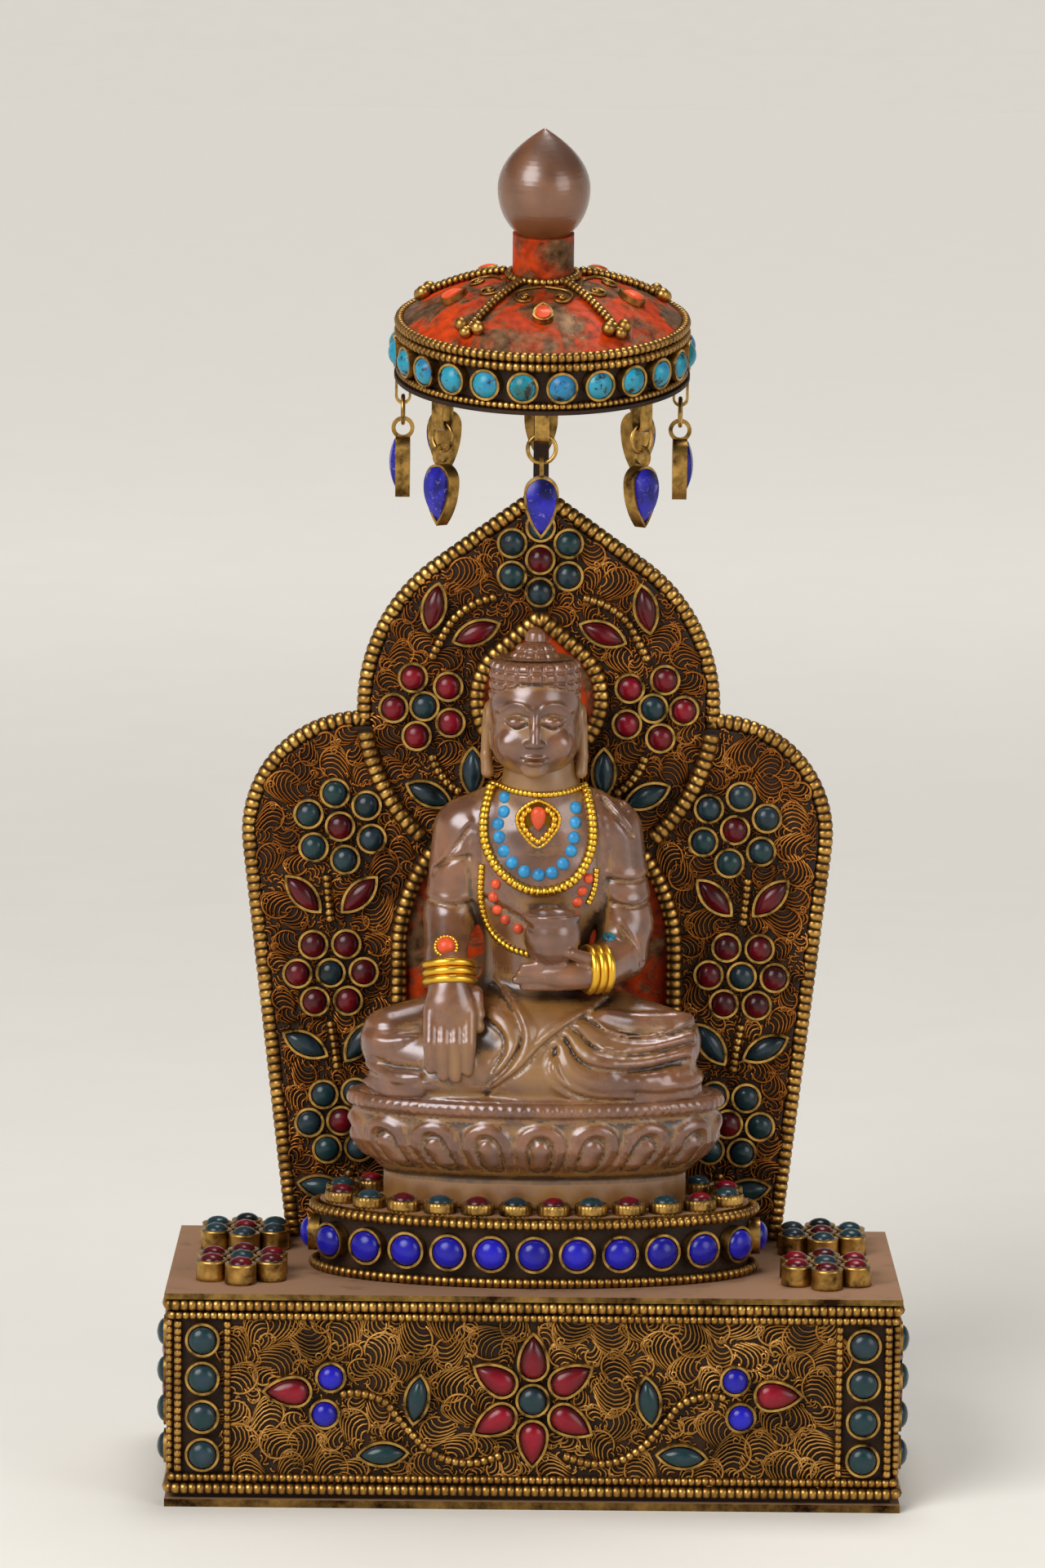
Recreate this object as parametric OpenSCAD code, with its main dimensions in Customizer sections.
// Table-top jewelled shrine: a carved crystal figure on an oval drum, in front of a
// trefoil plate that carries a tilted canopy with eight hanging drops.
// Origin at the middle of the underside, +X to the viewer's right, +Y to the back, +Z up.

/* [Base] */
// Width of the base box across the front wall
base_width = 145; // [130:1:180]
// Depth of the base box
base_depth = 62.5; // [58:0.5:80]
// Height of the base from the table to its top
base_height = 44; // [40:0.5:56]
// Thickness of the sheet the base box is folded from
base_sheet = 1.2; // [0.8:0.1:2]
// Thickness of the foot plate
foot_plate = 1.6; // [1:0.1:3]
// Thickness of the top plate
top_plate = 1.2; // [0.8:0.1:2]
// How far the foot and top plates stand out past the walls
plate_lip = 1.9; // [1:0.1:3]
// Diameter of the thick beaded wires of the base
rail_thick = 2.4; // [1.6:0.1:3]
// Diameter of the thin beaded wires of the base
rail_thin = 1.8; // [1.2:0.1:2.2]

/* [Stones] */
// Sheet thickness of a stone's bezel
bezel_wall = 0.5; // [0.3:0.05:0.8]
// Floor thickness of a bezel
bezel_floor = 0.5; // [0.3:0.1:1]
// Gap between a stone and its bezel
stone_fit = 0.05; // [0.03:0.01:0.15]
// Bezel diameter of the round stones in the base corners
corner_stone = 7; // [5:0.1:7.2]
// Bezel length of the pear petals on the base
petal_length = 10.2; // [8:0.1:11]
// Bezel width of the pear petals on the base
petal_width = 6.6; // [5:0.1:7]
// Bezel length of the pointed leaves
leaf_length = 10.9; // [8:0.1:12]
// Bezel width of the pointed leaves
leaf_width = 5.4; // [4:0.1:6]
// Bezel diameter of the round petals and berries
berry = 6.3; // [4:0.1:6.4]
// Height of the bezels on the walls and the plate
bezel_height = 2.3; // [1.6:0.1:3]
// Height of the tall bezels on the base top
crown_height = 4.1; // [3:0.1:6]

/* [Drum] */
// Half width of the oval drum
drum_a = 44; // [40:0.5:46]
// Half depth of the oval drum
drum_b = 19; // [17:0.5:21]
// Height of the drum
drum_height = 14.3; // [12:0.1:20]
// Distance of the drum's middle in front of the base's middle
drum_forward = 5.5; // [3:0.5:7]
// Sheet thickness of the drum
drum_sheet = 1; // [0.8:0.1:1.6]
// Number of blue stones around the drum
drum_stones = 24; // [16:2:24]
// Bezel diameter of the blue stones around the drum
drum_bezel = 7.6; // [5:0.1:8]
// Bezel diameter of the stones on the drum's top
collet = 6.4; // [4:0.1:6.8]
// Diameter of the drum's beaded wires
drum_rail = 2.2; // [1.4:0.1:2.6]

/* [Figure] */
// Half width of the figure's plinth
plinth_a = 31.2; // [28:0.2:33]
// Half depth of the figure's plinth
plinth_b = 12; // [10:0.2:12.4]
// Height of the plinth
plinth_height = 7; // [5:0.5:9]
// Half width of the lotus seat at its widest
lotus_a = 38.5; // [35:0.5:40]
// Half depth of the lotus seat at its widest
lotus_b = 17.3; // [15:0.1:18]
// Height of the lotus seat above the drum
lotus_height = 22.3; // [19:0.1:26]
// Outer half span of the figure's knees
knee_span = 35.7; // [32:0.1:38]
// Half span of the figure's shoulders
shoulder_span = 21.5; // [19:0.1:23]
// Height of the figure from the seat to the top of the head
figure_height = 95.4; // [85:0.1:105]
// Half width of the head
head_half = 9.6; // [8.5:0.1:10.5]
// Diameter of the bowl
bowl_size = 11; // [9:0.1:13]

/* [Back plate] */
// Half width of the plate where it stands on the base
plate_foot = 48.8; // [44:0.1:50]
// Radius of the lower lobes' shoulders
shoulder_radius = 22.2; // [20:0.1:24]
// Half distance between the shoulders' centres
shoulder_x = 36.2; // [34:0.1:38]
// Height of the shoulders' centres above the base
shoulder_z = 86; // [80:0.5:92]
// Radius of the upper lobe
lobe_radius = 34.6; // [32:0.1:36]
// Half distance between the upper lobe's two centres
lobe_x = 0; // [0:0.1:2]
// Height of the upper lobe's centres above the base
lobe_z = 112.5; // [108:0.1:118]
// Height of the plate's pointed top above the base
plate_apex = 155; // [151:0.5:160]
// Thickness of the plate
plate_thick = 3.6; // [2:0.1:5]
// Distance of the plate's front behind the base's middle
plate_back = 22; // [20:0.5:24]
// Diameter of the beaded wire around the plate
rim_wire = 3; // [2:0.1:3.4]
// Diameter of the beaded wires on the plate's face
arch_wire = 2.6; // [1.6:0.1:2.8]
// Diameter of the beaded stems
stem_wire = 1.8; // [1.2:0.1:2]
// Half width of the niche
niche_a = 30; // [28:0.5:31]
// Height of the niche's arch above its springing
niche_rise = 33; // [30:0.5:36]
// Height of the niche's springing above the base
niche_z = 61.5; // [54:0.5:63]
// Radius of the arch behind the head
halo_radius = 14.2; // [12:0.1:14.6]
// Height of the middle of the arch behind the head above the base
halo_z = 114.5; // [112:0.5:116]
// Height of the point of the arch behind the head above the base
halo_apex = 133.4; // [131:0.2:133.4]

/* [Canopy] */
// Radius of the canopy's band
canopy_radius = 28.6; // [26:0.2:30]
// Height of the band from the soffit's underside
band_height = 12.4; // [11:0.1:15]
// Height of the dome above the band
dome_rise = 9.1; // [7:0.1:12]
// Sheet thickness of the canopy
canopy_sheet = 0.8; // [0.6:0.1:1.4]
// How far the soffit stands out past the band
soffit_lip = 1.9; // [1.5:0.1:2.5]
// Forward tilt of the canopy
canopy_tilt = 11; // [0:0.5:16]
// Distance of the canopy's middle behind the base's middle
canopy_back = 24; // [22:0.5:26]
// Height of the middle of the canopy's underside above the base
canopy_z = 181.2; // [176:0.2:190]
// Number of turquoise stones around the band
band_stones = 24; // [16:2:24]
// Bezel diameter of the turquoise stones
band_bezel = 6.5; // [5:0.1:6.8]
// Number of ribs on the dome
ribs = 5; // [4:1:6]
// Diameter of the ribs
rib_wire = 1.5; // [1:0.1:1.8]
// Diameter of the neck under the finial
neck_size = 12.6; // [10:0.2:15]
// Height of the neck
neck_height = 9.2; // [6:0.2:12]
// Diameter of the egg-shaped finial
egg_size = 19; // [16:0.2:22]
// Height of the egg-shaped finial
egg_height = 22; // [18:0.2:26]
// Width of the flat pole
pole_width = 3.2; // [2:0.1:5]
// Thickness of the flat pole
pole_thick = 1.6; // [1:0.1:2.4]
// Height of the pole's lower end above the base
pole_low = 106; // [80:1:120]

/* [Drops] */
// Radius of the circle the drops hang on
drop_circle = 28.6; // [27:0.1:28.8]
// Length of a strap from the soffit to its ring's axis
strap_length = 4.4; // [3:0.1:6]
// Width of a strap
strap_width = 3; // [2:0.1:3.2]
// Sheet thickness of a strap
strap_sheet = 0.5; // [0.4:0.05:0.7]
// Inside radius of a strap's fold
strap_fold = 1.15; // [1.1:0.05:1.3]
// Mean radius of a jump ring
ring_radius = 2.85; // [2.5:0.05:3.2]
// Radius of the ring wire
ring_wire = 0.42; // [0.35:0.01:0.45]
// Mean radius of a drop's bail
bail_radius = 1.95; // [1.85:0.05:2.2]
// Bezel length of a drop
drop_length = 12.6; // [10:0.1:15]
// Bezel width of a drop
drop_width = 7.1; // [5.5:0.1:8]
// Bezel depth of a drop
drop_depth = 3; // [2:0.1:4]

/* [Hidden] */
$fn = 48;
gilt = [0.62, 0.46, 0.24];
dark_gilt = [0.42, 0.30, 0.17];
ruby = [0.45, 0.05, 0.09];
agate = [0.20, 0.25, 0.23];
lapis = [0.10, 0.20, 0.62];
turquoise = [0.30, 0.62, 0.62];
coral = [0.80, 0.27, 0.18];
crystal = [0.52, 0.48, 0.44];
vermilion = [0.48, 0.20, 0.13];
air = 0.05;

panel_low = foot_plate + 0.9 + rail_thick + rail_thin + 0.2;
panel_high = base_height - top_plate - rail_thick - rail_thin - 0.2;
panel_mid = (panel_low + panel_high) / 2;
panel_step = (panel_high - panel_low) / 4;
corner_inset = rail_thin + corner_stone / 2 + 0.5;
petal_ring = corner_stone / 2 + petal_length / 2 + 0.4;
bloom = petal_ring / 9;
crown_ring = berry + 0.6;
crown_front = [base_width / 2 - 13, -base_depth / 2 + 15.5];
crown_rear = [base_width / 2 - 12.5, base_depth / 2 - 17.3];
drum_top = base_height + drum_height;
collet_a = drum_a - collet / 2 - 0.3;
collet_b = drum_b - collet / 2 - 0.1;
seat_z = drum_top + lotus_height;
shoulder_top = shoulder_z + shoulder_radius;
dome_radius = (canopy_radius * canopy_radius + dome_rise * dome_rise) / (2 * dome_rise);
dome_mid = band_height + dome_rise - dome_radius;
neck_low = band_height + dome_rise - 0.5;
neck_top = neck_low + neck_height;
rib_step = 360 / ribs;
drop_step = 45;
link_z = -2 * ring_radius;
bail_z = link_z - bail_radius + 2 * ring_wire + 0.2;
drop_z = bail_z - bail_radius + 0.2 - drop_length / 2;

// Points of an arc in the plane, angles in degrees
function arc(c, r, a0, a1, n) = [for (i = [0:n]) c + r * [cos(a0 + (a1 - a0) * i / n), sin(a0 + (a1 - a0) * i / n)]];
// The same points read from the other end with x turned round
function mirrored(p) = [for (i = [len(p) - 1:-1:0]) [-p[i][0], p[i][1]]];
// Plane points stood up at depth y
function stand(p, y) = [for (q = p) [q[0], y, q[1]]];
function unit(v) = v / norm(v);
// Angle at which a line from point p touches a circle about c, on the side s
function touch(p, c, r, s) = atan2(p[1] - c[1], p[0] - c[0]) + s * acos(r / norm(p - c));
// Ellipse outline
function oval(a, b, n) = [for (i = [0:n - 1]) [a * cos(360 * i / n), b * sin(360 * i / n)]];
// Table of arc length against angle along an ellipse
function oval_table(a, b, n) = let (p = oval(a, b, n))
    [for (i = 0, s = 0; i <= n; s = s + norm(p[(i + 1) % n] - p[i % n]), i = i + 1) [s, 360 * i / n]];
// Angle of the k-th of m even places along an ellipse, the first in front
function oval_place(a, b, m, k) = let (t = oval_table(a, b, 240), s = t[240][0])
    lookup((0.75 + k / m - floor(0.75 + k / m)) * s, t);
// Direction an ellipse faces at angle t
function oval_face(a, b, t) = atan2(a * sin(t), b * cos(t));
// Tangent of a path at point i
function along(p, i, loop) = let (n = len(p))
    unit(loop ? p[(i + 1) % n] - p[(i + n - 1) % n] : p[min(i + 1, n - 1)] - p[max(i - 1, 0)]);
// Cross-section of a wire at point q, in the plane of normal m and across the tangent t
function section(q, t, m, r, s) = [for (j = [0:s - 1])
    q + r * (cos(360 * j / s) * m + sin(360 * j / s) * cross(t, m))];

// Skin over a stack of equal rings
module skin(rings, loop = false) {
    n = len(rings);
    s = len(rings[0]);
    last = loop ? n - 1 : n - 2;
    sides = [for (k = [0:last]) for (j = [0:s - 1])
        [k * s + j, ((k + 1) % n) * s + j, ((k + 1) % n) * s + (j + 1) % s, k * s + (j + 1) % s]];
    ends = loop ? [] : [[for (j = [0:s - 1]) j], [for (j = [s - 1:-1:0]) (n - 1) * s + j]];
    polyhedron(points = [for (r = rings) for (q = r) q], faces = concat(sides, ends), convexity = 6);
}

// Round wire along a flat path whose plane has the normal m
module wire(p, d, m, loop = false, s = 6) {
    skin([for (i = [0:len(p) - 1]) section(p[i], along(p, i, loop), m, d / 2, s)], loop);
}

// Round bezel cup
module cup(d, h) {
    difference() {
        cylinder(d = d, h = h);
        translate([0, 0, bezel_floor])
            cylinder(d = d - 2 * bezel_wall, h = h);
    }
}

// Round cabochon for that cup
module cabochon(d, h, rise) {
    r = d / 2 - bezel_wall - stone_fit;
    ball = (r * r + rise * rise) / (2 * rise);
    intersection() {
        translate([0, 0, bezel_floor])
            cylinder(r = r, h = h + rise);
        translate([0, 0, h - 0.25 + rise - ball])
            sphere(r = ball);
    }
}

// Outline pointed at both ends, drawn in by a margin
module leaf_shape(l, w, margin) {
    r = (l * l + w * w) / (4 * w);
    intersection() {
        translate([0, r - w / 2])
            circle(r = r - margin, $fn = 96);
        translate([0, w / 2 - r])
            circle(r = r - margin, $fn = 96);
    }
}

// Bezel of a pointed leaf
module leaf_cup(l, w, h) {
    difference() {
        linear_extrude(h)
            leaf_shape(l, w, 0);
        translate([0, 0, bezel_floor])
            linear_extrude(h)
                leaf_shape(l, w, bezel_wall);
    }
}

// Stone of a pointed leaf, domed along and across
module leaf_stone(l, w, h, rise) {
    across = w / 2 - bezel_wall;
    long = l / 2 - 2 * bezel_wall;
    bar = (across * across + rise * rise) / (2 * rise);
    ball = (long * long + rise * rise) / (2 * rise);
    intersection() {
        translate([0, 0, bezel_floor])
            linear_extrude(h + rise)
                leaf_shape(l, w, bezel_wall + stone_fit);
        translate([-l, 0, h - 0.25 + rise - bar])
            rotate([0, 90, 0])
                cylinder(r = bar, h = 2 * l);
        translate([0, 0, h - 0.25 + rise - ball])
            sphere(r = ball);
    }
}

// Half a disc behind a pear's widest point, drawn in by a margin
module pear_heel(w, margin) {
    intersection() {
        circle(d = w - 2 * margin);
        translate([-w, -w])
            square([w, 2 * w]);
    }
}

// Half a leaf before a pear's widest point, drawn in by a margin
module pear_toe(l, w, margin) {
    tip = l - w / 2;
    side = (tip * tip + w * w / 4) / w;
    intersection() {
        translate([0, w / 2 - side])
            circle(r = side - margin, $fn = 96);
        translate([0, side - w / 2])
            circle(r = side - margin, $fn = 96);
        translate([0, -w])
            square([l, 2 * w]);
    }
}

module pear_shape(l, w, margin) {
    union() {
        pear_heel(w, margin);
        pear_toe(l, w, margin);
    }
}

// Bezel of a pear stone, its middle at the origin and its tip to +X
module pear_cup(l, w, h) {
    translate([w / 2 - l / 2, 0, 0])
        difference() {
            linear_extrude(h)
                pear_shape(l, w, 0);
            translate([0, 0, bezel_floor])
                linear_extrude(h)
                    pear_shape(l, w, bezel_wall);
        }
}

// Pear stone, domed from its heel to its tip
module pear_stone(l, w, h, rise) {
    margin = bezel_wall + stone_fit;
    low = 0.35 * rise;
    ball = (l * l / 4 + rise * rise) / (2 * rise);
    intersection() {
        translate([w / 2 - l / 2, 0, bezel_floor])
            linear_extrude(h + rise)
                pear_shape(l, w, margin);
        translate([-0.08 * l, 0, h - low + rise - ball])
            sphere(r = ball);
    }
}

// One wall of the base, its middle at the origin and its outside to -Y
module wall(k) {
    rotate([0, 0, 90 * k])
        translate([0, -(k % 2 == 0 ? base_depth : base_width) / 2, 0])
            children();
}

function wall_half(k) = (k % 2 == 0 ? base_width : base_depth) / 2;

// A place on a wall or on the plate's face, seen from outside
module spot(x, z, turn = 0) {
    translate([x, 0, z])
        rotate([90, 0, 0])
            rotate([0, 0, turn])
                children();
}

module corner_places() {
    for (k = [0:3]) wall(k)
        for (s = [-1, 1]) for (i = [0:3])
            spot(s * (wall_half(k) - corner_inset), panel_low + (i + 0.5) * panel_step)
                children();
}

module flower_places() {
    for (k = [0:3]) wall(k)
        spot(0, panel_mid)
            children();
}

module petal_places() {
    flower_places()
        for (i = [0:5]) rotate([0, 0, 30 + 60 * i])
            translate([petal_ring, 0, 0])
                children();
}

module upright_leaf_places() {
    for (k = [0, 2]) wall(k) for (s = [-1, 1])
        spot(s * 23.4 * bloom, panel_mid, 90 + s * 8)
            children();
}

module flat_leaf_places() {
    for (k = [0, 2]) wall(k) for (s = [-1, 1])
        spot(s * 30.2 * bloom, panel_low + leaf_width / 2 + 1.7, s * -4)
            children();
}

module bud_places() {
    for (k = [0, 2]) wall(k) for (s = [-1, 1])
        spot(s * 49.6 * bloom, panel_mid + 1.4 * bloom, s > 0 ? 0 : 180)
            children();
}

module berry_places() {
    for (k = [0, 2]) wall(k) for (s = [-1, 1]) for (q = [[40.8, 4.4], [42, -3.2]])
        spot(s * q[0] * bloom, panel_mid + q[1] * bloom)
            children();
}

// Clusters on the base top, the front pair and the rear pair
module crown_places(centre, at) {
    for (s = [-1, 1])
        translate([s * at[0], at[1], base_height])
            if (centre) children();
            else for (i = [0:5]) rotate([0, 0, 30 + 60 * i])
                translate([crown_ring, 0, 0])
                    children();
}

module drum_places() {
    translate([0, -drum_forward, base_height + drum_height / 2])
        for (k = [0:drum_stones - 1]) {
            t = oval_place(drum_a, drum_b, drum_stones, k);
            translate([(drum_a + air) * cos(t), (drum_b + air) * sin(t), 0])
                rotate([0, 0, oval_face(drum_a, drum_b, t)])
                    rotate([0, 90, 0])
                        children();
        }
}

module collet_places(odd) {
    translate([0, -drum_forward, drum_top])
        for (k = [0:23]) {
            t = oval_place(collet_a, collet_b, 24, k + 0.5);
            if (odd == 2 || k % 2 == odd)
                translate([collet_a * cos(t), collet_b * sin(t), 0])
                    children();
        }
}

// Flowers of the plate: x, height above the base, ring, petals, first angle, 1 for red petals
plate_flowers = [
    [0, 143.5, 6.75, 6, 30, 0],
    [23.7, 112.8, 6.4, 5, 140, 1],
    [41, 87.5, 7.05, 6, 21, 0],
    [42.8, 56.7, 6.9, 6, -2, 1],
    [40.4, 25.4, 6.7, 6, -4, 0]];
// Leaves of the plate: x, height above the base, turn, 1 for red
plate_leaves = [
    [21.9, 133.4, 101.5, 1],
    [13.1, 128.2, -22, 1],
    [13.6, 99.2, 90, 0],
    [22.6, 94.4, 24, 0],
    [48.6, 73.2, 46, 1],
    [36.9, 73.2, 134, 1],
    [48, 41.5, 27, 0],
    [36.6, 42.3, 125, 0],
    [44.4, 11.2, 10, 0]];

// A place on the plate's face, repeated to the left where it is off the middle line
module face_spot(x, z, turn = 0) {
    translate([0, plate_back, base_height]) {
        spot(x, z, turn)
            children();
        if (x > 0) mirror([1, 0, 0])
            spot(x, z, turn)
                children();
    }
}

module bloom_places(red) {
    for (f = plate_flowers) if (red == 2 || f[5] == red)
        face_spot(f[0], f[1])
            for (i = [0:f[3] - 1]) rotate([0, 0, f[4] + i * 360 / f[3]])
                translate([f[2], 0, 0])
                    children();
}

module heart_places(red) {
    for (f = plate_flowers) if (red == 2 || f[5] != red)
        face_spot(f[0], f[1])
            children();
}

module leaf_places(red) {
    for (f = plate_leaves) if (red == 2 || f[3] == red)
        face_spot(f[0], f[1], f[2])
            children();
}

// Half of the plate's outline from the foot to the point, grown by a margin
function half_outline(g) = let (
    foot = [plate_foot + g, g > 0 ? 0.3 : 0],
    sc = [shoulder_x, shoulder_z],
    lc = [lobe_x, lobe_z],
    sr = shoulder_radius + g,
    lr = lobe_radius + g,
    tip = [0, plate_apex + 1.3 * g],
    join = asin((shoulder_top - lobe_z + g * 0.5) / lr))
    concat([foot],
        arc(sc, sr, touch(foot, sc, sr, 1), 88, 16),
        arc(lc, lr, join, touch(tip, lc, lr, -1), 10),
        [tip]);

function outline(g) = let (h = half_outline(g), m = mirrored(h))
    concat(h, [for (i = [1:len(m) - 1]) m[i]]);

// Arch of the niche, drawn in by a margin, from one foot to the other
function niche_path(m) = concat([[niche_a - m, 0.3]],
    [for (i = [0:16]) [(niche_a - m) * cos(11.25 * i), niche_z + (niche_rise - m) * sin(11.25 * i)]],
    [[m - niche_a, 0.3]]);

// Pointed arch behind the head, drawn in by a margin
function halo_path(m) = let (
    tip = [0, halo_apex - 1.4 * m],
    h = concat(arc([0, halo_z], halo_radius - m, -58, touch(tip, [0, halo_z], halo_radius - m, -1), 10), [tip]),
    r = mirrored(h))
    concat(h, [for (i = [1:len(r) - 1]) r[i]]);

module canopy() {
    translate([0, canopy_back, base_height + canopy_z])
        rotate([canopy_tilt, 0, 0])
            children();
}

// Where the axis of drop k's ring lies
function hang_point(k) = let (f = drop_step * k) [
    drop_circle * sin(f),
    canopy_back - drop_circle * cos(f) * cos(canopy_tilt),
    base_height + canopy_z - drop_circle * cos(f) * sin(canopy_tilt) - strap_length];

// Drop k's own frame: +X outward, +Y along the rim
module hang(k) {
    translate(hang_point(k))
        rotate([0, 0, drop_step * k - 90])
            children();
}

module base_box() {
    color(dark_gilt)
        difference() {
            translate([-base_width / 2, -base_depth / 2, foot_plate])
                cube([base_width, base_depth, base_height - foot_plate - top_plate]);
            translate([base_sheet - base_width / 2, base_sheet - base_depth / 2, 0])
                cube([base_width - 2 * base_sheet, base_depth - 2 * base_sheet, base_height]);
        }
}

module base_top_plate() {
    color(dark_gilt)
        translate([-base_width / 2 - plate_lip, -base_depth / 2 - plate_lip, base_height - top_plate])
            cube([base_width + 2 * plate_lip, base_depth + 2 * plate_lip, top_plate]);
}

module base_foot_plate() {
    color(dark_gilt)
        translate([-base_width / 2 - plate_lip, -base_depth / 2 - plate_lip, 0])
            cube([base_width + 2 * plate_lip, base_depth + 2 * plate_lip, foot_plate]);
}

// One beaded wire all round the base
module base_rail(d, z) {
    for (k = [0:3]) wall(k) {
        reach = wall_half(k) + (k % 2 == 0 ? d + air : -air);
        translate([-reach, -d / 2 - air, z])
            rotate([0, 90, 0])
                cylinder(d = d, h = 2 * reach);
    }
}

module base_beading() {
    color(gilt) {
        base_rail(rail_thick, base_height - top_plate - rail_thick / 2 - air);
        base_rail(rail_thin, panel_high + rail_thin / 2 + air);
        base_rail(rail_thin, panel_low - rail_thin / 2 - air);
        base_rail(rail_thick, panel_low - rail_thin - rail_thick / 2 - 3 * air);
        for (k = [0:3]) wall(k)
            for (s = [-1, 1]) for (x = [rail_thin / 2, 2 * corner_inset - rail_thin / 2])
                translate([s * (wall_half(k) - x), -rail_thin / 2 - air, panel_low + 0.2])
                    cylinder(d = rail_thin, h = panel_high - panel_low - 0.4);
    }
}

// Stem from the centre flower to a side bud, as offsets from the panel's middle
stem_points = [[39, 0.7], [35.4, 1], [30.2, -0.6], [26.8, -4.6], [22.4, -9.6],
    [17.4, -12.6], [11.6, -13.2], [6.2, -11.6]];

module base_stems() {
    color(gilt)
        for (k = [0, 2]) wall(k)
            for (s = [-1, 1])
                wire([for (q = stem_points * bloom) [s * q[0], -stem_wire / 2 - air, panel_mid + q[1]]],
                    stem_wire, [0, 1, 0]);
}

module base_bezels() {
    color(gilt) {
        corner_places() cup(corner_stone, bezel_height);
        flower_places() cup(corner_stone, bezel_height);
        petal_places() pear_cup(petal_length, petal_width, bezel_height);
        upright_leaf_places() leaf_cup(leaf_length, leaf_width, bezel_height);
        flat_leaf_places() leaf_cup(leaf_length, leaf_width, bezel_height);
        bud_places() pear_cup(petal_length, petal_width, bezel_height);
        berry_places() cup(berry, bezel_height);
        for (at = [crown_front, crown_rear]) {
            crown_places(true, at) cup(berry, crown_height);
            crown_places(false, at) cup(berry, crown_height);
        }
    }
}

module base_red_stones() {
    color(ruby) {
        petal_places() pear_stone(petal_length, petal_width, bezel_height, 1.5);
        bud_places() pear_stone(petal_length, petal_width, bezel_height, 1.5);
        crown_places(false, crown_front) cabochon(berry, crown_height, 1.5);
        crown_places(true, crown_rear) cabochon(berry, crown_height, 1.5);
    }
}

module base_green_stones() {
    color(agate) {
        corner_places() cabochon(corner_stone, bezel_height, 1.5);
        flower_places() cabochon(corner_stone, bezel_height, 1.5);
        upright_leaf_places() leaf_stone(leaf_length, leaf_width, bezel_height, 1.5);
        flat_leaf_places() leaf_stone(leaf_length, leaf_width, bezel_height, 1.5);
        crown_places(true, crown_front) cabochon(berry, crown_height, 1.5);
        crown_places(false, crown_rear) cabochon(berry, crown_height, 1.5);
    }
}

module base_blue_stones() {
    color(lapis)
        berry_places() cabochon(berry, bezel_height, 1.7);
}

// Upright oval block
module oval_block(a, b, h) {
    scale([1, b / a, 1])
        cylinder(r = a, h = h);
}

module drum_wall() {
    color(dark_gilt)
        translate([0, -drum_forward, base_height])
            difference() {
                oval_block(drum_a, drum_b, drum_height - drum_sheet);
                translate([0, 0, -1])
                    oval_block(drum_a - drum_sheet, drum_b - drum_sheet, drum_height + 1);
            }
}

module drum_top_plate() {
    color(dark_gilt)
        translate([0, -drum_forward, drum_top - drum_sheet])
            oval_block(drum_a, drum_b, drum_sheet);
}

module drum_beading() {
    grow = drum_rail / 2 + 0.1;
    color(gilt)
        for (z = [drum_rail / 2 + air, drum_height - drum_rail / 2 - 0.2])
            wire([for (q = oval(drum_a + grow, drum_b + grow, 64)) [q[0], q[1] - drum_forward, base_height + z]],
                drum_rail, [0, 0, 1], true);
}

module drum_bezels() {
    color(gilt) {
        drum_places() cup(drum_bezel, bezel_height);
        collet_places(2) cup(collet, bezel_height);
    }
}

module drum_blue_stones() {
    color(lapis)
        drum_places() cabochon(drum_bezel, bezel_height, 1.9);
}

module drum_red_stones() {
    color(ruby)
        collet_places(0) cabochon(collet, bezel_height, 1.3);
}

module drum_green_stones() {
    color(agate)
        collet_places(1) cabochon(collet, bezel_height, 1.3);
}

// Limb between two balls, each given as [x, y, z, radius]
module limb(p, q) {
    hull() {
        translate([p[0], p[1], p[2]])
            sphere(r = p[3], $fn = 16);
        translate([q[0], q[1], q[2]])
            sphere(r = q[3], $fn = 16);
    }
}

// Heights up the body as fractions of the figure's height, with half width and half depth there
body_stations = [[-0.01, 0.84, 11.5], [0.08, 0.78, 11], [0.18, 0.6, 10], [0.29, 0.55, 9.4], [0.41, 0.7, 10],
    [0.5, 0.82, 9.8], [0.57, 0.84, 8.8], [0.62, 0.56, 7.6], [0.665, 0.34, 6.4], [0.72, 0.28, 6]];
// Heights up the seat as fractions of its height, with the widening from plinth to rim
seat_stations = [[0, 0], [0.3, 0], [0.34, 0.08], [0.48, 0.5], [0.64, 0.9], [0.78, 1], [0.9, 0.98], [1, 0.82]];

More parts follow.
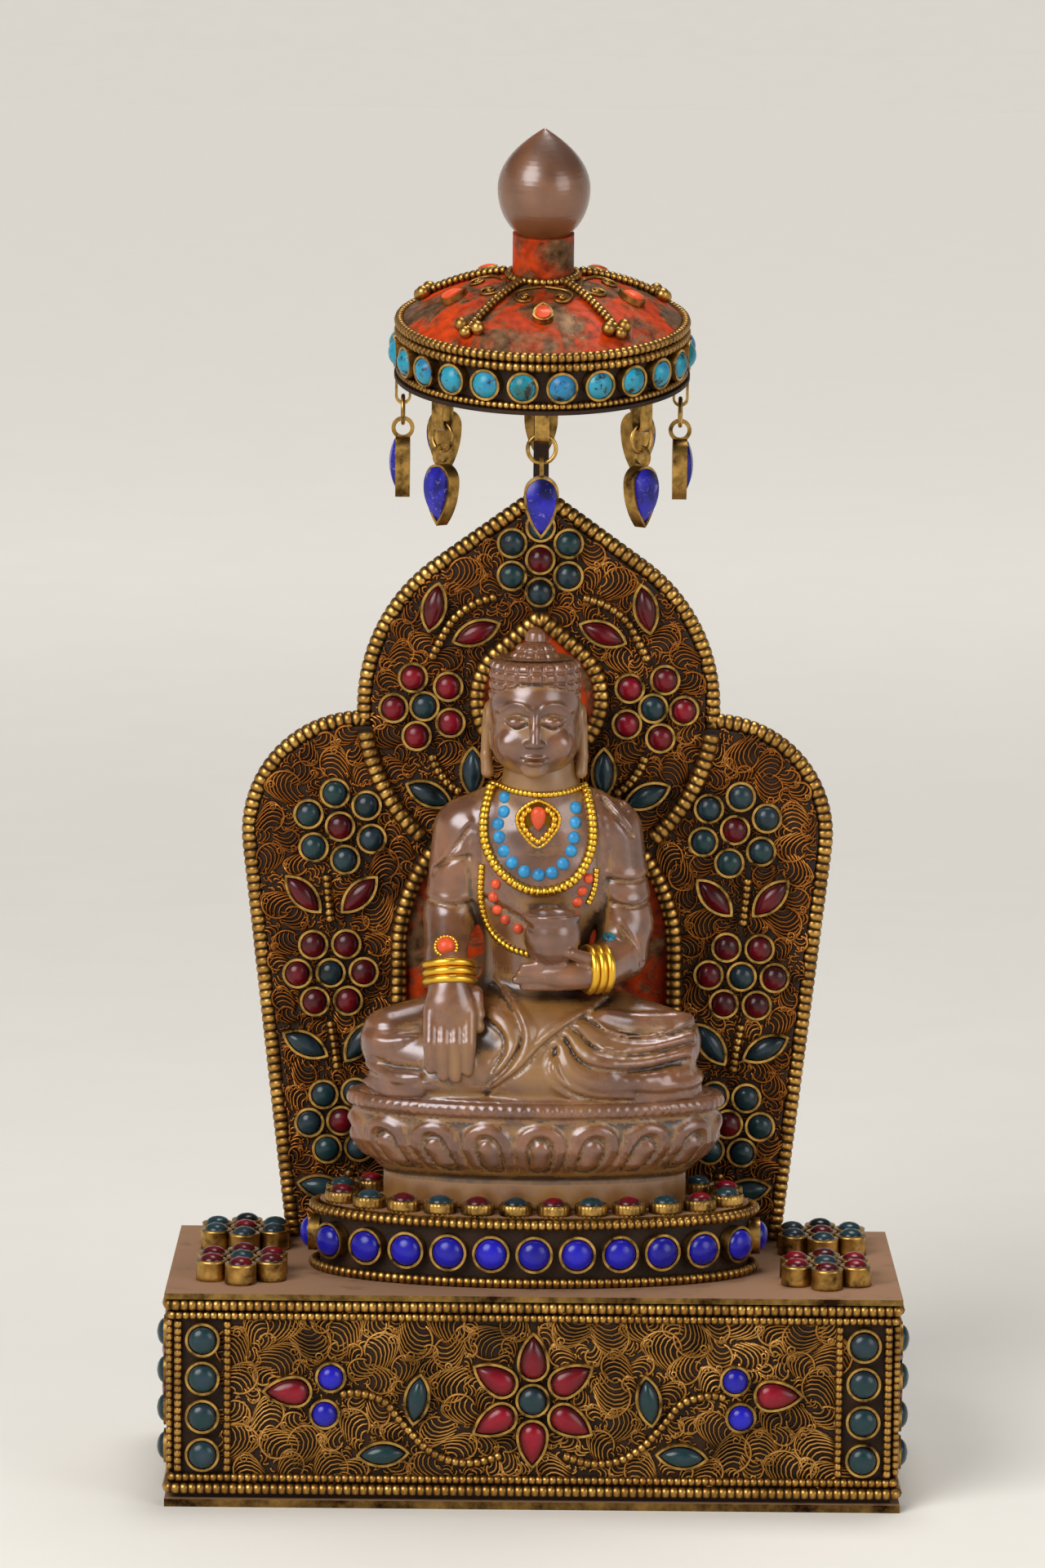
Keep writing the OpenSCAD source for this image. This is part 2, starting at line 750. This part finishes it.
module crystal_figure() {
    h = figure_height;
    k = knee_span;
    w = shoulder_span;
    color(crystal)
        translate([0, -drum_forward, drum_top])
            union() {
                skin([for (q = seat_stations) [for (p = oval(
                    plinth_a + q[1] * (lotus_a - plinth_a),
                    plinth_b + q[1] * (lotus_b - plinth_b), 32)) [p[0], p[1], q[0] * lotus_height]]]);
                translate([0, 0, lotus_height]) {
                    skin([for (q = body_stations) [for (p = oval(q[1] * w, q[2], 20))
                        [p[0], p[1] + 2, q[0] * h]]]);
                    translate([0, -3, 0.14 * h])
                        scale([0.56 * k, 11, 0.09 * h])
                            sphere(r = 1, $fn = 20);
                    for (s = [-1, 1]) {
                        limb([s * 9, 5, 0.145 * h, 9], [s * (k - 8.4), -2.5, 0.144 * h, 8.4]);
                        limb([s * (k - 8.6), -4.5, 0.104 * h, 7], [s * -3, -12.2, 0.062 * h, 4.4]);
                        limb([s * (w - 6), 3, 0.55 * h, 6.2], [s * (w - 3.2), 1.6, 0.37 * h, 5.6]);
                        translate([s * (head_half + 0.5), 1, 0.76 * h])
                            scale([1.5, 2, 0.075 * h])
                                sphere(r = 1, $fn = 12);
                    }
                    limb([3.2 - w, 1.2, 0.38 * h, 5.5], [4 - w, -11.5, 0.245 * h, 4.6]);
                    limb([4 - w, -11.5, 0.245 * h, 4.6], [4 - w, -14.2, 0.16 * h, 3]);
                    for (x = [-3.8, -1.2, 1.4, 3.8])
                        limb([4.1 - w + x, -14.2, 0.16 * h, 1.5], [4.1 - w + x, -15, 0.055 * h, 1.2]);
                    limb([w - 3, 1, 0.37 * h, 5.9], [w - 3, 0, 0.31 * h, 5.6]);
                    limb([w - 3, 0, 0.31 * h, 5.6], [w - 8.7, -9.2, 0.285 * h, 4.5]);
                    limb([w - 11, -11, 0.283 * h, 3.4], [-2, -12.6, 0.27 * h, 2.2]);
                    translate([4, -11.8, 0.293 * h])
                        cylinder(d1 = bowl_size * 0.64, d2 = bowl_size, h = 0.107 * h, $fn = 24);
                    translate([0, 0.6, 0.8 * h])
                        scale([head_half, head_half * 1.05, 0.118 * h])
                            sphere(r = 1, $fn = 24);
                    translate([0, 1.6, 0.92 * h])
                        scale([head_half * 0.55, head_half * 0.55, 0.08 * h])
                            sphere(r = 1, $fn = 16);
                }
            }
}

module back_plate() {
    color(dark_gilt)
        translate([0, plate_back + plate_thick, base_height])
            rotate([90, 0, 0])
                linear_extrude(plate_thick)
                    polygon(outline(0));
}

module niche_panel() {
    m = arch_wire + 0.2;
    color(vermilion)
        translate([0, plate_back, base_height])
            rotate([90, 0, 0])
                linear_extrude(0.4)
                    union() {
                        polygon(niche_path(m));
                        polygon(halo_path(m));
                    }
}

module plate_beading() {
    face_y = plate_back - arch_wire / 2 - air;
    lobe_line = lobe_radius + rim_wire / 2 + 0.1;
    lobe_end = asin((niche_z + niche_rise - 9.2 - lobe_z) / lobe_line);
    color(gilt)
        translate([0, 0, base_height]) {
            wire(stand(outline(rim_wire / 2 + 0.1), plate_back + plate_thick / 2), rim_wire, [0, 1, 0]);
            wire(stand(niche_path(arch_wire / 2), face_y), arch_wire, [0, 1, 0]);
            wire(stand(halo_path(arch_wire / 2), face_y), arch_wire, [0, 1, 0]);
            for (s = [-1, 1])
                wire([for (q = arc([lobe_x, lobe_z], lobe_line, -8, lobe_end, 8))
                    [s * q[0], face_y, q[1]]], arch_wire, [0, 1, 0]);
        }
}

// Stems of the plate, right half
plate_stem_points = [
    [[8.9, 135.6], [13.6, 134], [18, 130.6], [20.9, 125.6], [22.4, 122.4]],
    [[43.8, 77.2], [43.5, 73], [43, 68.6], [42.8, 67.2]],
    [[42.8, 46.4], [42.1, 42], [41.2, 36.2]],
    [[39, 14.8], [37.6, 11], [35.4, 6]],
    [[22.2, 102.6], [21, 99.6], [18.6, 96.4], [16, 94.6]]];

module plate_stems() {
    color(gilt)
        translate([0, plate_back - stem_wire / 2 - air, base_height])
            for (s = [-1, 1]) for (p = plate_stem_points)
                wire([for (q = p) [s * q[0], 0, q[1]]], stem_wire, [0, 1, 0]);
}

module plate_bezels() {
    color(gilt) {
        bloom_places(2) cup(berry, bezel_height);
        heart_places(2) cup(berry, bezel_height);
        leaf_places(2) leaf_cup(leaf_length, leaf_width, bezel_height);
    }
}

module plate_red_stones() {
    color(ruby) {
        bloom_places(1) cabochon(berry, bezel_height, 1.4);
        heart_places(1) cabochon(berry, bezel_height, 1.4);
        leaf_places(1) leaf_stone(leaf_length, leaf_width, bezel_height, 1.5);
    }
}

module plate_green_stones() {
    color(agate) {
        bloom_places(0) cabochon(berry, bezel_height, 1.4);
        heart_places(0) cabochon(berry, bezel_height, 1.4);
        leaf_places(0) leaf_stone(leaf_length, leaf_width, bezel_height, 1.5);
    }
}

module canopy_pole() {
    color(dark_gilt)
        difference() {
            translate([-pole_width / 2, plate_back + plate_thick, base_height + pole_low])
                cube([pole_width, pole_thick, canopy_z - pole_low + 10]);
            canopy()
                translate([-20, -20, 0])
                    cube([40, 40, 40]);
        }
}

module canopy_soffit() {
    color(dark_gilt)
        canopy()
            cylinder(r = canopy_radius + soffit_lip, h = canopy_sheet);
}

module canopy_band() {
    color(dark_gilt)
        canopy()
            translate([0, 0, canopy_sheet])
                difference() {
                    cylinder(r = canopy_radius, h = band_height - canopy_sheet);
                    translate([0, 0, -1])
                        cylinder(r = canopy_radius - canopy_sheet, h = band_height + 1);
                }
}

module canopy_dome() {
    color(vermilion)
        canopy()
            difference() {
                intersection() {
                    translate([0, 0, dome_mid])
                        sphere(r = dome_radius);
                    translate([0, 0, band_height])
                        cylinder(r = canopy_radius + 1, h = dome_rise + 1);
                }
                translate([0, 0, dome_mid])
                    sphere(r = dome_radius - canopy_sheet);
            }
}

// One beaded wire round the canopy's band
module canopy_rail(d, z) {
    translate([0, 0, z])
        rotate_extrude()
            translate([canopy_radius + d / 2 + air, 0])
                circle(d = d, $fn = 24);
}

module canopy_beading() {
    r = dome_radius + rib_wire / 2 + air;
    low = asin((canopy_radius - 1.6) / dome_radius);
    high = asin((neck_size / 2 + 1.4) / dome_radius);
    color(gilt)
        canopy() {
            canopy_rail(1.3, canopy_sheet + 0.65 + air);
            canopy_rail(1.6, band_height - 2.4 - air);
            canopy_rail(1.6, band_height - 0.75);
            for (k = [0:ribs - 1])
                rotate([0, 0, rib_step * (k + 0.5)])
                    wire([for (i = [0:8]) let (t = low + (high - low) * i / 8)
                        [0, -r * sin(t), dome_mid + r * cos(t)]], rib_wire, [1, 0, 0]);
        }
}

module band_places() {
    canopy()
        translate([0, 0, (band_height - 0.4) / 2 - 0.3])
            for (k = [0:band_stones - 1])
                rotate([0, 0, 360 * (k + 0.5) / band_stones])
                    translate([canopy_radius + air, 0, 0])
                        rotate([0, 90, 0])
                            children();
}

module dome_places() {
    t = asin(0.66 * canopy_radius / dome_radius);
    canopy()
        for (k = [0:ribs - 1])
            rotate([0, 0, rib_step * k])
                translate([0, -(dome_radius + air) * sin(t), dome_mid + (dome_radius + air) * cos(t)])
                    rotate([t, 0, 0])
                        rotate([0, 0, 90])
                            children();
}

module canopy_bezels() {
    color(gilt) {
        band_places() cup(band_bezel, 2);
        dome_places() pear_cup(6, 4.2, 1.2);
    }
}

module canopy_turquoise() {
    color(turquoise)
        band_places() cabochon(band_bezel, 2, 1.5);
}

module canopy_coral() {
    color(coral)
        dome_places() pear_stone(6, 4.2, 1.2, 1.1);
}

module canopy_neck() {
    color(vermilion)
        canopy()
            difference() {
                cylinder(d = neck_size, h = neck_top);
                translate([0, 0, dome_mid])
                    sphere(r = dome_radius + air);
            }
}

// Half width of a pointed egg at share f of its height, widest at 0.42
function egg_width(f) = f < 0.42 ? sqrt(1 - pow(0.83 * (0.42 - f) / 0.42, 2)) : 1 - pow((f - 0.42) / 0.58, 2.1);
// Egg outline, half, from the cut foot to the point
function egg_half(r, h) = [for (i = [0:24]) [i == 24 ? 0 : r * egg_width(i / 24), h * i / 24]];

module canopy_finial() {
    color(crystal)
        canopy()
            translate([0, 0, neck_top])
                rotate_extrude()
                    polygon(concat([[0, 0]], egg_half(egg_size / 2, egg_height)));
}

// Folded strap with the ring's axis at its origin, its legs reaching up past the soffit
module strap() {
    rotate([90, 0, 0])
        translate([0, 0, -strap_width / 2])
            linear_extrude(strap_width)
                difference() {
                    union() {
                        circle(r = strap_fold + strap_sheet);
                        translate([-strap_fold - strap_sheet, 0])
                            square([2 * (strap_fold + strap_sheet), strap_length + 4]);
                    }
                    circle(r = strap_fold);
                    translate([-strap_fold, 0])
                        square([2 * strap_fold, strap_length + 5]);
                }
}

module canopy_straps() {
    color(gilt)
        for (k = [0:7])
            difference() {
                hang(k) strap();
                canopy()
                    translate([-40, -40, 0])
                        cube([80, 80, 20]);
            }
}

// Jump ring hanging from its axis
module ring() {
    color(gilt)
        translate([0, 0, -ring_radius])
            rotate([0, 90, 0])
                rotate_extrude()
                    translate([ring_radius, 0])
                        circle(r = ring_wire, $fn = 24);
}

// Pear bezel with the bail that takes the ring
module drop_bezel() {
    color(gilt)
        union() {
            translate([0, 0, bail_z])
                rotate([90, 0, 0])
                    difference() {
                        cylinder(r = bail_radius + ring_wire, h = 2 * ring_wire, center = true, $fn = 48);
                        cylinder(r = bail_radius - ring_wire, h = 4 * ring_wire, center = true, $fn = 48);
                    }
            translate([-drop_depth / 2, 0, drop_z])
                rotate([0, 90, 0])
                    pear_cup(drop_length, drop_width, drop_depth);
        }
}

module drop_stone() {
    color(lapis)
        translate([-drop_depth / 2, 0, drop_z])
            rotate([0, 90, 0])
                pear_stone(drop_length, drop_width, drop_depth, 2);
}

module ring_1() {
    hang(0) ring();
}

module drop_bezel_1() {
    hang(0) drop_bezel();
}

module drop_stone_1() {
    hang(0) drop_stone();
}

module ring_2() {
    hang(1) ring();
}

module drop_bezel_2() {
    hang(1) drop_bezel();
}

module drop_stone_2() {
    hang(1) drop_stone();
}

module ring_3() {
    hang(2) ring();
}

module drop_bezel_3() {
    hang(2) drop_bezel();
}

module drop_stone_3() {
    hang(2) drop_stone();
}

module ring_4() {
    hang(3) ring();
}

module drop_bezel_4() {
    hang(3) drop_bezel();
}

module drop_stone_4() {
    hang(3) drop_stone();
}

module ring_5() {
    hang(4) ring();
}

module drop_bezel_5() {
    hang(4) drop_bezel();
}

module drop_stone_5() {
    hang(4) drop_stone();
}

module ring_6() {
    hang(5) ring();
}

module drop_bezel_6() {
    hang(5) drop_bezel();
}

module drop_stone_6() {
    hang(5) drop_stone();
}

module ring_7() {
    hang(6) ring();
}

module drop_bezel_7() {
    hang(6) drop_bezel();
}

module drop_stone_7() {
    hang(6) drop_stone();
}

module ring_8() {
    hang(7) ring();
}

module drop_bezel_8() {
    hang(7) drop_bezel();
}

module drop_stone_8() {
    hang(7) drop_stone();
}

base_box();
base_top_plate();
base_foot_plate();
base_beading();
base_stems();
base_bezels();
base_red_stones();
base_green_stones();
base_blue_stones();
drum_wall();
drum_top_plate();
drum_beading();
drum_bezels();
drum_blue_stones();
drum_red_stones();
drum_green_stones();
crystal_figure();
back_plate();
niche_panel();
plate_beading();
plate_stems();
plate_bezels();
plate_red_stones();
plate_green_stones();
canopy_pole();
canopy_soffit();
canopy_band();
canopy_dome();
canopy_beading();
canopy_bezels();
canopy_turquoise();
canopy_coral();
canopy_neck();
canopy_finial();
canopy_straps();
ring_1();
drop_bezel_1();
drop_stone_1();
ring_2();
drop_bezel_2();
drop_stone_2();
ring_3();
drop_bezel_3();
drop_stone_3();
ring_4();
drop_bezel_4();
drop_stone_4();
ring_5();
drop_bezel_5();
drop_stone_5();
ring_6();
drop_bezel_6();
drop_stone_6();
ring_7();
drop_bezel_7();
drop_stone_7();
ring_8();
drop_bezel_8();
drop_stone_8();
